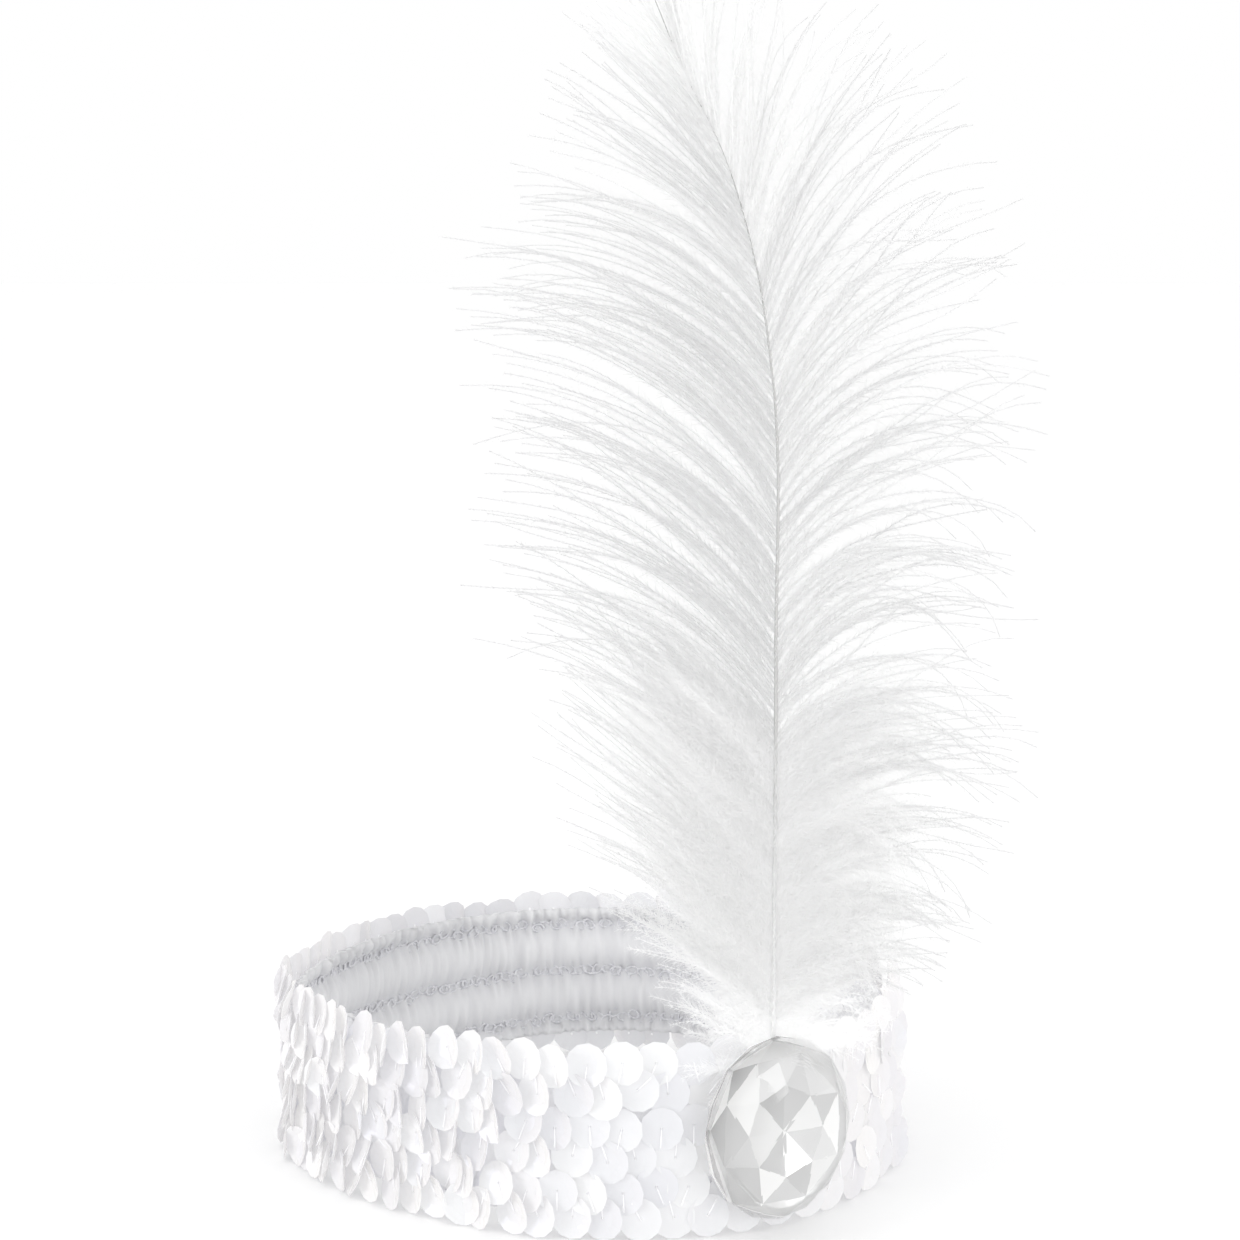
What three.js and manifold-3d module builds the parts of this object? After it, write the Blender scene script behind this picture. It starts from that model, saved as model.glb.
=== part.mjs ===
// Flapper headband: an elastic knit band covered in three zigzag strings of sequins, standing on its edge,
// with an ostrich plume and a cut oval stone fastened to its front.
// Millimetres, +Z up. The origin is the middle of the head opening, on the surface that the band stands on.
// The front of the headband faces -Y, and bearings run anticlockwise from +X.

import * as THREE from "three";
import { ConvexGeometry } from "three/addons/geometries/ConvexGeometry.js";
import { mergeVertices } from "three/addons/utils/BufferGeometryUtils.js";
import Module from "manifold-3d";

const wasm = await Module();
wasm.setup();

const CLEARANCE = 0.3; // left between pieces that press on each other

// The band's inside face seen from above: how far it lies from the origin along each bearing.
const LOOP = [
  { bearing: 0, reach: 63.5 },
  { bearing: 35, reach: 65 },
  { bearing: 70, reach: 65 },
  { bearing: 100, reach: 63.5 },
  { bearing: 130, reach: 61.5 },
  { bearing: 160, reach: 61.5 },
  { bearing: 186, reach: 64.5 },
  { bearing: 212, reach: 60.5 },
  { bearing: 240, reach: 59 },
  { bearing: 265, reach: 62.5 },
  { bearing: 288, reach: 66.5 },
  { bearing: 315, reach: 68.5 },
  { bearing: 340, reach: 66.5 },
];

// Sequin strings: each runs round the band on a stitch line, its sequins set by turns above and below it.
const SEQUIN_ACROSS = 8.2;
const SEQUIN_PAIRS = 42; // in each string, one sequin of a pair above the line and one below
const STRINGS = 3;
const STRING_PITCH = 13.2;
const ZIGZAG = 3.2; // a sequin's centre above or below its stitch line
const SEQUIN_BED = 0.9; // thickness of the string where a sequin is tucked under its neighbour
const SEQUIN_LIFT = 2.6; // how far the free edge of a sequin stands off the bed
const TUCK = 0.05; // share of a pair's length taken by the step from one sequin down to the next
const TUCK_DROP = 1.6; // how much lower a sequin's outline is at its tucked end
const ROW_SLOPE = 0.5; // half the height of the slope between the two rows of a string

// Elastic band: a knitted wall, gathered between the stitch lines on its inside face.
const BAND_OVERHANG = 4; // sequins reach this far past the band's top and bottom edges
const BAND_WALL = 2.2; // at the middle of a gathered panel
const STITCH_SINK = 0.9; // how far the inside face is drawn in at a stitch line
const GATHERS = 56;
const GATHER_DEPTH = 0.45;
const PANEL_SHOULDER = 0.24; // share of a panel's height where its puff is full

// Oval stone, flat at the back, with a domed cut face.
const STONE_BEARING = 302.5;
const STONE_WIDE = 34;
const STONE_HIGH = 38.5;
const STONE_MIDDLE = 22.7; // height of its centre above the surface
const GIRDLE = 1.6;
const STONE_CORNERS = 16;
// Rings of facet corners from the girdle to the table: share of the outline, rise above the girdle, corners.
const CROWN_RINGS = [
  { share: 0.82, rise: 3.6, corners: 16, turn: 0.5 },
  { share: 0.52, rise: 6.0, corners: 8, turn: 0.25 },
  { share: 0.24, rise: 7.2, corners: 8, turn: 0.75 },
];
const PRESSED_REACH = 19; // sequins lie flat behind the stone, this far to each side along the band
const PRESSED_LIFT = 0.12; // share of the lift that is left there

// Plume: heights above the surface, and how far the shaft strays to the side and to the back.
const SHAFT = [
  { height: 9, side: 0, back: 0 },
  { height: 60, side: 0, back: 0.2 },
  { height: 120, side: 0.3, back: 1.5 },
  { height: 176, side: -0.2, back: 4 },
  { height: 201, side: -3.9, back: 6 },
  { height: 223, side: -10.6, back: 8.5 },
  { height: 234, side: -16, back: 10 },
];
const QUILL_RADIUS = 1.2;
const SHAFT_TIP_RADIUS = 0.3;
const PLUME_YAW = 10; // degrees that the plume is turned to the right
// Barbs by the height of their root: length, and the angle to the shaft at the root and at the tip, in degrees.
const BARBS = [
  { root: 44, left: { length: 40, start: 46, tip: 55 }, right: { length: 32, start: 40, tip: 116 } },
  { root: 51, left: { length: 48, start: 44, tip: 56 }, right: { length: 39, start: 38, tip: 120 } },
  { root: 63, left: { length: 56, start: 42, tip: 57 }, right: { length: 45, start: 36, tip: 124 } },
  { root: 80, left: { length: 61, start: 40, tip: 60 }, right: { length: 50, start: 34, tip: 119 } },
  { root: 105, left: { length: 66, start: 36, tip: 74 }, right: { length: 55, start: 32, tip: 113 } },
  { root: 140, left: { length: 70, start: 30, tip: 87 }, right: { length: 60, start: 30, tip: 107 } },
  { root: 175, left: { length: 61, start: 28, tip: 92 }, right: { length: 56, start: 28, tip: 90 } },
  { root: 205, left: { length: 50, start: 22, tip: 71 }, right: { length: 49, start: 22, tip: 68 } },
  { root: 225, left: { length: 38, start: 14, tip: 42 }, right: { length: 42, start: 14, tip: 45 } },
  { root: 233, left: { length: 26, start: 8, tip: 14 }, right: { length: 35, start: 8, tip: 21 } },
];
const LOCKS_PER_SIDE = 20;
const LOCK_WIDTHS = [3.4, 5.4, 6.6, 5.4, 1]; // across a lock, at equal steps from root to tip
const LOCK_STEPS = LOCK_WIDTHS.length - 1;
const LOCK_THICK = 1.4;
const LOCK_BOWS = [5, -2, 2]; // how far back the tips of neighbouring locks lie, in turn

const knitWhite = new THREE.MeshStandardMaterial({ color: 0xd6d6dc, roughness: 0.85, metalness: 0 });
const sequinWhite = new THREE.MeshStandardMaterial({ color: 0xf1f0f4, roughness: 0.25, metalness: 0.1 });
const featherWhite = new THREE.MeshStandardMaterial({ color: 0xf0f0f0, roughness: 0.9, metalness: 0 });
const clearStone = new THREE.MeshStandardMaterial({ color: 0xdedfe3, roughness: 0.05, metalness: 0.2 });

// Path of the inside face, anticlockwise seen from above.
const loop = new THREE.CatmullRomCurve3(
  LOOP.map(({ bearing, reach }) => {
    const angle = THREE.MathUtils.degToRad(bearing);
    return new THREE.Vector3(reach * Math.cos(angle), reach * Math.sin(angle), 0);
  }),
  true,
);
const loopLength = loop.getLength();

// Unit vector out of the band at a share of the way round the loop.
function outward(share) {
  const along = loop.getTangentAt(share);
  return new THREE.Vector3(along.y, -along.x, 0).normalize();
}

// Point at a share of the way round, an offset out from the inside face, and a height.
function onLoop(share, offset, height) {
  return loop.getPointAt(share).addScaledVector(outward(share), offset).setZ(height);
}

// Share of the way round at which the loop crosses a bearing.
function shareAtBearing(bearing) {
  const wanted = THREE.MathUtils.degToRad(bearing);
  const aim = new THREE.Vector3(Math.cos(wanted), Math.sin(wanted), 0);
  const steps = 2000;
  let best = 0;
  for (let i = 1; i < steps; i++)
    if (loop.getPointAt(i / steps).normalize().dot(aim) > loop.getPointAt(best).normalize().dot(aim)) best = i / steps;
  return best;
}

// Closed ring round the loop. corners(station) lists [offset, height] anticlockwise, the same count at each station.
function ringGeometry(shares, corners) {
  const sections = shares.map((share, station) =>
    corners(station, share).map(([offset, height]) => onLoop(share, offset, height)),
  );
  const around = sections[0].length;
  const geometry = new THREE.TorusGeometry(1, 0.5, around, shares.length);
  const position = geometry.attributes.position;
  for (let corner = 0; corner <= around; corner++)
    for (let station = 0; station <= shares.length; station++) {
      const point = sections[station % shares.length][corner % around];
      position.setXYZ(corner * (shares.length + 1) + station, point.x, point.y, point.z);
    }
  return geometry;
}

// Solid strip along a list of frames, each with its middle, its side and depth directions, and half sizes.
function stripGeometry(frames, sides) {
  const geometry = new THREE.CylinderGeometry(1, 1, 1, sides, frames.length - 1);
  const position = geometry.attributes.position;
  const place = new THREE.Vector3();
  for (let i = 0; i < position.count; i++) {
    const step = Math.round((position.getY(i) + 0.5) * (frames.length - 1));
    const { middle, side, depth, halfWidth, halfDepth } = frames[step];
    place.copy(middle);
    place.addScaledVector(side, position.getX(i) * halfWidth);
    place.addScaledVector(depth, position.getZ(i) * halfDepth);
    position.setXYZ(i, place.x, place.y, place.z);
  }
  return geometry;
}

// Closed geometry as a solid that can be joined to others.
function toSolid(geometry) {
  const bare = new THREE.BufferGeometry();
  bare.setAttribute("position", geometry.getAttribute("position"));
  bare.setIndex(geometry.index);
  const merged = mergeVertices(bare, 1e-4);
  return new wasm.Manifold(
    new wasm.Mesh({
      numProp: 3,
      vertProperties: merged.attributes.position.array,
      triVerts: new Uint32Array(merged.index.array),
    }),
  );
}

// Joined solid back as geometry.
function toGeometry(solid) {
  const { vertProperties, triVerts } = solid.getMesh();
  const geometry = new THREE.BufferGeometry();
  geometry.setAttribute("position", new THREE.BufferAttribute(vertProperties, 3));
  geometry.setIndex(new THREE.BufferAttribute(triVerts, 1));
  geometry.computeVertexNormals();
  return geometry;
}

function namedMesh(name, geometry, material) {
  const mesh = new THREE.Mesh(geometry, material);
  mesh.name = name;
  return mesh;
}

// Heights that follow from the sequins: the lowest ones stand on the surface.
const sequinHalf = SEQUIN_ACROSS / 2;
const lowestLine = ZIGZAG + sequinHalf;
const stitchLines = Array.from({ length: STRINGS }, (_, string) => lowestLine + string * STRING_PITCH);
const bandBottom = BAND_OVERHANG;
const bandTop = stitchLines[STRINGS - 1] + lowestLine - BAND_OVERHANG;
const bedOffset = BAND_WALL + CLEARANCE;

// Inside face from the top edge down: height, and the share of the full puff and gather that the cloth has there.
function insideRows() {
  const rows = [{ height: bandTop, puff: 0.5 }];
  for (let string = STRINGS - 1; string >= 0; string--) {
    rows.push({ height: stitchLines[string], puff: 0 });
    if (string === 0) continue;
    const panel = stitchLines[string] - stitchLines[string - 1];
    rows.push({ height: stitchLines[string] - PANEL_SHOULDER * panel, puff: 1 });
    rows.push({ height: stitchLines[string - 1] + PANEL_SHOULDER * panel, puff: 1 });
  }
  rows.push({ height: bandBottom, puff: 0.5 });
  return rows;
}

function elasticBand() {
  const rows = insideRows();
  const shares = Array.from({ length: 2 * GATHERS }, (_, i) => i / (2 * GATHERS));
  const geometry = ringGeometry(shares, (station) => {
    const gather = station % 2 === 0 ? 0 : GATHER_DEPTH;
    const inside = rows.map(({ height, puff }) => [STITCH_SINK * (1 - puff) + gather * puff, height]);
    return [[BAND_WALL, bandBottom], [BAND_WALL, bandTop], ...inside];
  });
  return namedMesh("elastic_band", geometry, knitWhite);
}

const stoneShare = shareAtBearing(STONE_BEARING);

// How much of their lift the sequins keep: those behind the stone are pressed flat.
function liftShare(share) {
  const gap = Math.abs(share - stoneShare);
  const distance = Math.min(gap, 1 - gap) * loopLength;
  return PRESSED_LIFT + (1 - PRESSED_LIFT) * THREE.MathUtils.smoothstep(distance, PRESSED_REACH, PRESSED_REACH + 8);
}

// Height of one row of sequins above or below its stitch line, by how far along the sequin it is taken.
// Rows that meet another string stop short of it; those at the band's edges have the sequins' outline.
function rowReach(phase, atEdge) {
  if (!atEdge) return (STRING_PITCH - CLEARANCE) / 2;
  return ZIGZAG + sequinHalf - (phase < 0.5 ? TUCK_DROP : 0);
}

function sequinString(string) {
  const shares = [];
  for (let pair = 0; pair < SEQUIN_PAIRS; pair++)
    for (const part of [TUCK, 0.5, 0.5 + TUCK, 1]) shares.push((pair + part) / SEQUIN_PAIRS);
  const line = stitchLines[string];
  const geometry = ringGeometry(shares, (station, share) => {
    const below = [TUCK, 0.5, 0.5 + TUCK, 1][station % 4];
    const above = [0.5 + TUCK, 1, TUCK, 0.5][station % 4];
    const rim = (phase) => bedOffset + SEQUIN_BED + SEQUIN_LIFT * phase * liftShare(share);
    const foot = line - rowReach(below, string === 0);
    const top = line + rowReach(above, string === STRINGS - 1);
    return [
      [rim(below), foot],
      [rim(below), line - ROW_SLOPE],
      [rim(above), line + ROW_SLOPE],
      [rim(above), top],
      [bedOffset, top],
      [bedOffset, foot],
    ];
  });
  return namedMesh(`sequin_string_${string + 1}`, geometry, sequinWhite);
}

// The stone's flat back lies in its own XY plane, and its cut face looks along +Z.
function ovalCorners(share, rise, corners, turn) {
  return Array.from({ length: corners }, (_, i) => {
    const angle = ((i + turn) / corners) * 2 * Math.PI;
    const across = (STONE_WIDE / 2) * share * Math.cos(angle);
    const up = (STONE_HIGH / 2) * share * Math.sin(angle);
    return new THREE.Vector3(across, up, rise);
  });
}

function ovalStone() {
  const points = [...ovalCorners(1, 0, STONE_CORNERS, 0), ...ovalCorners(1, GIRDLE, STONE_CORNERS, 0)];
  for (const { share, rise, corners, turn } of CROWN_RINGS)
    points.push(...ovalCorners(share, GIRDLE + rise, corners, turn));
  return namedMesh("oval_stone", new ConvexGeometry(points), clearStone);
}

const shaft = new THREE.CatmullRomCurve3(
  SHAFT.map(({ height, side, back }) => new THREE.Vector3(side, back, height)),
);

// Share of the shaft's length at a height.
function shaftShareAt(height) {
  const steps = 600;
  for (let i = 0; i <= steps; i++) if (shaft.getPointAt(i / steps).z >= height) return i / steps;
  return 1;
}

function shaftSolid() {
  const steps = 16;
  const frames = Array.from({ length: steps + 1 }, (_, i) => {
    const radius = THREE.MathUtils.lerp(QUILL_RADIUS, SHAFT_TIP_RADIUS, i / steps);
    return {
      middle: shaft.getPointAt(i / steps),
      side: new THREE.Vector3(0, 1, 0).cross(shaft.getTangentAt(i / steps)).normalize(),
      depth: new THREE.Vector3(0, -1, 0),
      halfWidth: radius,
      halfDepth: radius,
    };
  });
  return toSolid(stripGeometry(frames, 6));
}

// One side's barb length and angles at a root height, between the rows of the table.
function barbAt(height, sideName) {
  const above = BARBS.findIndex(({ root }) => root > height);
  const upper = BARBS[above < 0 ? BARBS.length - 1 : Math.max(above, 1)];
  const lower = BARBS[BARBS.indexOf(upper) - 1];
  const share = THREE.MathUtils.clamp((height - lower.root) / (upper.root - lower.root), 0, 1);
  const mix = (name) => THREE.MathUtils.lerp(lower[sideName][name], upper[sideName][name], share);
  return { length: mix("length"), start: mix("start"), tip: mix("tip") };
}

// One lock of barbs: it leaves the shaft at the start angle and turns evenly to the tip angle.
function lockSolid(height, sideName, bow) {
  const { length, start, tip } = barbAt(height, sideName);
  const share = shaftShareAt(height);
  const along = shaft.getTangentAt(share);
  const lean = Math.atan2(along.x, along.z);
  const turn = sideName === "left" ? -1 : 1;
  const depth = new THREE.Vector3(0, 1, 0);
  const middle = shaft.getPointAt(share);
  const frames = [];
  for (let step = 0; step <= LOCK_STEPS; step++) {
    const t = step / LOCK_STEPS;
    const angle = lean + turn * THREE.MathUtils.degToRad(THREE.MathUtils.lerp(start, tip, t));
    const direction = new THREE.Vector3(Math.sin(angle), 0, Math.cos(angle));
    frames.push({
      middle: middle.clone().setY(middle.y + bow * t * t),
      side: direction.clone().cross(depth),
      depth,
      halfWidth: LOCK_WIDTHS[step] / Math.sqrt(3),
      halfDepth: (LOCK_THICK / 2) * (1 - 0.5 * t),
    });
    const turnPerStep = THREE.MathUtils.degToRad(tip - start) / LOCK_STEPS;
    const middleAngle = angle + (turn * turnPerStep) / 2;
    middle.x += (Math.sin(middleAngle) * length) / LOCK_STEPS;
    middle.z += (Math.cos(middleAngle) * length) / LOCK_STEPS;
  }
  return toSolid(stripGeometry(frames, 3));
}

function plume() {
  let solid = shaftSolid();
  const lowest = BARBS[0].root;
  const highest = BARBS[BARBS.length - 1].root;
  for (let lock = 0; lock < LOCKS_PER_SIDE; lock++)
    for (const [sideName, stagger] of [["left", 0], ["right", 0.5]]) {
      const height = THREE.MathUtils.lerp(lowest, highest, (lock + stagger) / (LOCKS_PER_SIDE - 0.5));
      solid = solid.add(lockSolid(height, sideName, LOCK_BOWS[lock % LOCK_BOWS.length]));
    }
  return namedMesh("plume", toGeometry(solid), featherWhite);
}

// The quill lies on the flattened sequins, and the stone's back lies on the quill.
const quillOffset = bedOffset + SEQUIN_BED + SEQUIN_LIFT * PRESSED_LIFT + CLEARANCE + QUILL_RADIUS;
const stoneOffset = quillOffset + QUILL_RADIUS + CLEARANCE;
const facing = outward(stoneShare);

const stoneSeat = new THREE.Group();
stoneSeat.position.copy(onLoop(stoneShare, stoneOffset, STONE_MIDDLE));
stoneSeat.rotation.set(Math.PI / 2, 0, Math.atan2(facing.x, -facing.y), "ZYX");
stoneSeat.add(ovalStone());

const plumeSeat = new THREE.Group();
plumeSeat.position.copy(onLoop(stoneShare, quillOffset, 0));
plumeSeat.rotation.z = THREE.MathUtils.degToRad(PLUME_YAW);
plumeSeat.add(plume());

const headband = new THREE.Group();
headband.add(elasticBand());
for (let string = 0; string < STRINGS; string++) headband.add(sequinString(string));
headband.add(plumeSeat);
headband.add(stoneSeat);

export default headband;
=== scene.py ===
# flapper headband: knitted band, sequins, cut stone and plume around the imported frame
import math

import bmesh
import bpy
import numpy as np
from mathutils import Matrix, Vector


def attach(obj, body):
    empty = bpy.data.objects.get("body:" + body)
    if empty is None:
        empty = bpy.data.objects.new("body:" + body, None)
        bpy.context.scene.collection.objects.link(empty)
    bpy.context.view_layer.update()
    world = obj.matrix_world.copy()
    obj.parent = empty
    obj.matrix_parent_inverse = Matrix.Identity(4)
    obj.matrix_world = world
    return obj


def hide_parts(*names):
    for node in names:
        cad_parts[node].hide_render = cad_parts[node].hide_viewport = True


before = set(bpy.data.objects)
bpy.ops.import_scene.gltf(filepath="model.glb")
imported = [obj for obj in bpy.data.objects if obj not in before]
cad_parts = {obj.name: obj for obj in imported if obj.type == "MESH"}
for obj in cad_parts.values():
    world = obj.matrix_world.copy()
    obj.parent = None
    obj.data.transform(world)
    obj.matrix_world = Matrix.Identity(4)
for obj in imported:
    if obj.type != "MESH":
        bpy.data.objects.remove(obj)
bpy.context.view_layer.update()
scene = bpy.context.scene
mm = 0.001
up = np.array([0.0, 0.0, 1.0])
print("frame loaded:", sorted(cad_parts))

# camera at the photo's angle
view = {
    "place": (0.0075, -0.636, 0.209),
    "pitch": 8.05,
    "sensor": 36,
    "focalPixels": 2884,
    "framePixels": 1240,
}


def photoCamera():
    data = bpy.data.cameras.new("photoCamera")
    data.sensor_width = view["sensor"]
    data.lens = view["sensor"] * view["focalPixels"] / view["framePixels"]
    camera = bpy.data.objects.new("photoCamera", data)
    camera.location = view["place"]
    camera.rotation_euler = (math.radians(90 - view["pitch"]), 0, 0)
    scene.collection.objects.link(camera)
    scene.camera = camera


photoCamera()


# settings are named after the shader's sockets, with _ for a space
def newMaterial(name, **settings):
    material = bpy.data.materials.new(name)
    material.use_nodes = True
    tree = material.node_tree
    shader = tree.nodes["Principled BSDF"]
    for key, value in settings.items():
        shader.inputs[key.replace("_", " ")].default_value = value
    return material, tree, shader


def addNode(tree, kind, **settings):
    node = tree.nodes.new(kind)
    for key, value in settings.items():
        if hasattr(node, key):
            setattr(node, key, value)
        else:
            node.inputs[key.replace("_", " ")].default_value = value
    return node


def objectNoise(tree, coords, scale, detail):
    noise = addNode(tree, "ShaderNodeTexNoise", Scale=scale, Detail=detail)
    tree.links.new(coords.outputs["Object"], noise.inputs["Vector"])
    return noise.outputs["Fac"]


# part of the second value in the first
def mixValues(tree, first, second, part):
    mix = addNode(tree, "ShaderNodeMix", data_type="FLOAT", Factor=part)
    tree.links.new(first, mix.inputs[2])
    tree.links.new(second, mix.inputs[3])
    return mix.outputs[0]


def colourRamp(tree, source, target, stops):
    ramp = tree.nodes.new("ShaderNodeValToRGB")
    elements = ramp.color_ramp.elements
    while len(elements) < len(stops):
        elements.new(1.0)
    for element, (place, colour) in zip(elements, stops):
        element.position = place
        element.color = (*colour, 1)
    tree.links.new(source, ramp.inputs["Fac"])
    tree.links.new(ramp.outputs["Color"], target)


def addBump(tree, shader, height, strength, distance):
    bump = addNode(tree, "ShaderNodeBump", Strength=strength, Distance=distance)
    tree.links.new(height, bump.inputs["Height"])
    tree.links.new(bump.outputs["Normal"], shader.inputs["Normal"])


# thin stuff lets part of the light through
def letThrough(tree, shader, colour, share):
    through = addNode(tree, "ShaderNodeBsdfTranslucent", Color=(*colour, 1))
    mix = addNode(tree, "ShaderNodeMixShader", Fac=share)
    tree.links.new(shader.outputs["BSDF"], mix.inputs[1])
    tree.links.new(through.outputs["BSDF"], mix.inputs[2])
    tree.links.new(mix.outputs["Shader"], tree.nodes["Material Output"].inputs["Surface"])


def addPiece(name, mesh, materials, replaced=()):
    piece = bpy.data.objects.new(name, mesh)
    scene.collection.objects.link(piece)
    for material in materials:
        mesh.materials.append(material)
    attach(piece, "root")
    if replaced:
        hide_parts(*replaced)
    return piece


def bmeshArrays(bm):
    bm.verts.index_update()
    points = np.array([v.co for v in bm.verts])
    faces = [[v.index for v in face.verts] for face in bm.faces]
    bm.free()
    return points, faces


def meshFrom(bm, name):
    mesh = bpy.data.meshes.new(name)
    bm.to_mesh(mesh)
    bm.free()
    return mesh


# mesh operators leave no fixed order, so vertices and faces are sorted along a slanted line
def fixOrder(bm):
    slant = Vector((1.0, 0.37, 0.11))
    bm.verts.sort(key=lambda vert: vert.co.dot(slant))
    bm.faces.sort(key=lambda face: face.calc_center_median().dot(slant))


def openEdges(bm):
    return [edge for edge in bm.edges if edge.is_boundary]


# extrudes the edges and returns the new vertices
def extrudeRim(bm, edges):
    made = bmesh.ops.extrude_edge_only(bm, edges=edges)["geom"]
    return [item for item in made if isinstance(item, bmesh.types.BMVert)]


# joins many copies of small shapes into one mesh: each copy has a 3 by 3 turn and a place
def stampMesh(name, *stamps):
    spots, allFaces, first = [], [], 0
    for points, faces, turns, places in stamps:
        copies = np.einsum("kij,nj->kni", turns, points) + places[:, None, :]
        spots.append(copies.reshape(-1, 3))
        for copy in range(len(places)):
            allFaces.extend([corner + first for corner in face] for face in faces)
            first += len(points)
    mesh = bpy.data.meshes.new(name)
    mesh.from_pydata(np.concatenate(spots), [], allFaces)
    mesh.shade_smooth()
    return mesh


def pointValues(mesh, name, values):
    attribute = mesh.attributes.new(name, "FLOAT", "POINT")
    attribute.data.foreach_set("value", np.asarray(values, np.float32).ravel())


# turns two directions at right angles in their own plane, the first towards the second
def turned(first, second, angle):
    return first * np.cos(angle) + second * np.sin(angle), second * np.cos(angle) - first * np.sin(angle)


# path of the band's inside face seen from above, the same rows as the solid
loopTable = {
    "bearing": (0, 35, 70, 100, 130, 160, 186, 212, 240, 265, 288, 315, 340),
    "reach": (63.5, 65, 65, 63.5, 61.5, 61.5, 64.5, 60.5, 59, 62.5, 66.5, 68.5, 66.5),
    "stoneBearing": 302.5,
}


# centripetal curve through the rows: places, directions along, shares of the way round, and length
def smoothLoop(table, perSpan=120):
    angle = np.radians(table["bearing"])
    reach = np.array(table["reach"])[:, None] * mm
    knots = np.stack([np.cos(angle), np.sin(angle)], 1) * reach
    t = np.linspace(0, 1, perSpan, endpoint=False)[:, None]
    spans = []
    for i in range(len(knots)):
        p0, p1, p2, p3 = (knots[(i + k) % len(knots)] for k in (-1, 0, 1, 2))
        d0, d1, d2 = (np.linalg.norm(b - a) ** 0.5 for a, b in ((p0, p1), (p1, p2), (p2, p3)))
        m1 = ((p1 - p0) / d0 - (p2 - p0) / (d0 + d1) + (p2 - p1) / d1) * d1
        m2 = ((p2 - p1) / d1 - (p3 - p1) / (d1 + d2) + (p3 - p2) / d2) * d1
        square = 3 * (p2 - p1) - 2 * m1 - m2
        cube = 2 * (p1 - p2) + m1 + m2
        spans.append(p1 + m1 * t + square * t**2 + cube * t**3)
    path = np.concatenate(spans + [spans[0][:1]])
    steps = np.linalg.norm(np.diff(path, axis=0), axis=1)
    shares = np.concatenate([[0], np.cumsum(steps)])
    along = np.roll(path[:-1], -1, 0) - np.roll(path[:-1], 1, 0)
    along /= np.linalg.norm(along, axis=1)[:, None]
    along = np.concatenate([along, along[:1]])
    return path, along, shares / shares[-1], shares[-1]


loopPath, loopAlong, loopShares, loopLength = smoothLoop(loopTable)


# place, direction along and direction out of the band, at shares of the way round
def onLoop(share):
    share = np.mod(share, 1.0)
    spot, along = (
        np.stack([np.interp(share, loopShares, rows[:, i]) for i in (0, 1)] + [0 * share], -1)
        for rows in (loopPath, loopAlong)
    )
    along /= np.linalg.norm(along, axis=-1, keepdims=True)
    out = np.stack([along[..., 1], -along[..., 0], 0 * share], -1)
    return spot, along, out


pathBearing = np.degrees(np.arctan2(loopPath[:, 1], loopPath[:, 0])) % 360
stoneShare = loopShares[np.argmin(np.abs(pathBearing - loopTable["stoneBearing"]))]
stoneSpot, stoneAlong, stoneOut = (rows[0] for rows in onLoop(np.array([stoneShare])))


# mm along the loop from the stone, the shorter way
def awayFromStone(share):
    gap = np.abs(np.mod(share, 1.0) - stoneShare)
    return np.minimum(gap, 1 - gap) * loopLength / mm


# knitted elastic band, gathered between its stitch lines, which ride up at the far side
knit = {
    "stations": 620,
    "rows": 33,
    "bottom": 4.0,
    "top": 37.8,
    "lines": (7.3, 20.5, 33.7),
    "farRise": (2.6, 1.2, 0.0),
    "farShare": 0.22,
    "farSpan": 0.17,
    "hem": 6.6,
    "wall": 0.9,
    "sink": 0.95,
    "puff": 0.75,
    "roundness": 2.2,
    "gathers": (70, 210),
    "gatherDepth": 0.27,
    "gatherSlant": 0.0004,
    "gatherEase": 1.7,
    "hemGather": 2.4,
    "folds": (24, 70),
    "foldDepth": 0.2,
    "ragged": 0.85,
    "mostStreak": 1.6,
    # painted shade of the cloth: its usual lightness, lighter towards the top of each panel, darker on
    # gathers and folds
    "paintedShadeWeights": {"usual": 0.62, "upper": 0.3, "gather": -0.1, "fold": -0.08},
    "threadScale": 900.0,
    "seed": 3,
}


# uneven streaks round the loop, about one unit high, from waves of between so many to a turn
def streaks(share, rng, few, many, count=14):
    total = 0 * share
    for number in rng.integers(few, many, count):
        total = total + np.cos(2 * np.pi * (number * share + rng.random()))
    return total / math.sqrt(count / 2)


def clippedStreaks(share, rng, waves):
    return np.clip(streaks(share, rng, *waves), -knit["mostStreak"], knit["mostStreak"])


def raggedEdge(share, rng):
    return knit["ragged"] * np.clip(1 + streaks(share, rng, *knit["gathers"]), 0, 2)


# heights of the three stitch lines
def linesAt(share):
    away = (np.mod(share, 1.0) - knit["farShare"]) / knit["farSpan"]
    far = np.maximum(1 - away**2, 0) ** 2
    return [line + rise * far for line, rise in zip(knit["lines"], knit["farRise"])]
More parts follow.
